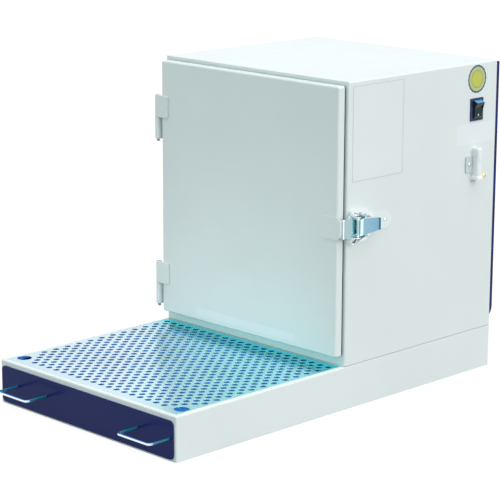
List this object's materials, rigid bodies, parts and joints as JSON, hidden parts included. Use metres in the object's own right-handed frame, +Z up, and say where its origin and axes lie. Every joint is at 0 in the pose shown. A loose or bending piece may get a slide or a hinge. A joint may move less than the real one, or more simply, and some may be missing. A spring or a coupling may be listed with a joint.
{
  "type": "downdraft table",
  "caption": "Desktop downdraft table: perforated lift-out work surface over a dust drawer, with a filter and blower cabinet behind it, closed by a hinged door with a draw latch.",
  "frame": {"origin": "centre of the underside of the base, on the bench", "axes": "+X to the right seen from the front, +Y to the back, +Z up; the drawer slides out towards -Y"},
  "size_m": [0.426, 0.7525, 0.508],
  "materials": {
    "grey_paint": "smooth light grey-green powder coat",
    "plate_steel": "satin stainless sheet with a cool tint",
    "blue_paint": "dark blue powder coat",
    "steel": "bare zinc-plated sheet",
    "bright": "bright nickel plating",
    "latch_blue": "light blue paint",
    "black_plastic": "moulded black plastic",
    "tray_blue": "blue powder coat",
    "foam": "closed-cell foam strip",
    "paper": "pleated filter paper",
    "clear_plastic": "pale translucent plastic",
    "brass": "plain brass",
    "cast": "bare cast aluminium"
  },
  "bodies": {
    "housing": {"base_shell": "grey_paint", "base_floor": "steel", "plate_ledges": "steel", "drawer_slides": "steel", "cabinet_shell": "grey_paint", "cabinet_floor": "steel", "cabinet_back": "steel", "filter_wall": "steel", "filter_shelf": "steel", "filter_frame": "steel", "filter_pack": "paper", "filter_seal": "foam", "clamp_bars": "steel", "clamp_screws": "black_plastic", "hinge_cabinet_leaf_upper": "grey_paint", "hinge_pin_upper": "bright", "hinge_cabinet_leaf_lower": "grey_paint", "hinge_pin_lower": "bright", "latch_base": "bright", "lever_pin": "bright", "latch_screws": "steel", "blower_scroll": "steel", "blower_motor": "cast", "blower_bracket": "steel", "exhaust_duct": "steel", "rear_cover": "blue_paint", "cover_screws": "steel", "switch_bezel": "black_plastic", "inlet_hood": "clear_plastic", "hood_flange": "clear_plastic", "hood_screw": "steel", "hood_collar": "clear_plastic", "earth_screw": "brass", "terminal_box": "steel"},
    "door": {"door_pan": "grey_paint", "door_seal": "foam", "hinge_door_leaf_upper": "grey_paint", "hinge_door_leaf_lower": "grey_paint", "latch_keeper": "grey_paint"},
    "drawer": {"drawer_front": "blue_paint", "drawer_tray": "tray_blue", "drawer_handle_left": "bright", "drawer_handle_right": "bright", "handle_screws": "steel"},
    "plate": {"perforated_plate": "plate_steel"},
    "lever": {"latch_lever": "latch_blue"},
    "yoke": {"latch_yoke": "bright", "yoke_pin": "bright"},
    "rocker": {"switch_rocker": "black_plastic"},
    "fan_wheel": {"impeller": "cast"}
  },
  "joints": [
    {"name": "door_swing", "type": "hinge", "parent": "housing", "child": "door", "pos_m": [-0.2055, -0.014, 0.2705], "axis": [0, 0, -1], "range_deg": [0, 120]},
    {"name": "drawer_slide", "type": "slide", "parent": "housing", "child": "drawer", "axis": [0, -1, 0], "range_m": [0, 0.3]},
    {"name": "plate_lift", "type": "hinge", "parent": "housing", "child": "plate", "pos_m": [0, -0.003, 0.069], "axis": [-1, 0, 0], "range_deg": [0, 40]},
    {"name": "lever_turn", "type": "hinge", "parent": "housing", "child": "lever", "pos_m": [0.21, 0.014, 0.287], "axis": [0, 0, -1], "range_deg": [0, 150]},
    {"name": "yoke_turn", "type": "hinge", "parent": "lever", "child": "yoke", "pos_m": [0.207, 0.034, 0.287], "axis": [0, 0, -1], "range_deg": [-150, 0]},
    {"name": "switch_rock", "type": "hinge", "parent": "housing", "child": "rocker", "pos_m": [0.2003, 0.3005, 0.4337], "axis": [0, -1, 0], "range_deg": [0, 20]},
    {"name": "fan_spin", "type": "hinge", "parent": "housing", "child": "fan_wheel", "pos_m": [0, 0.24, 0.262], "axis": [0, 1, 0], "continuous": true}
  ],
  "couplings": [
    {"joint": "yoke_turn", "follows": "lever_turn", "ratio": -1}
  ]
}
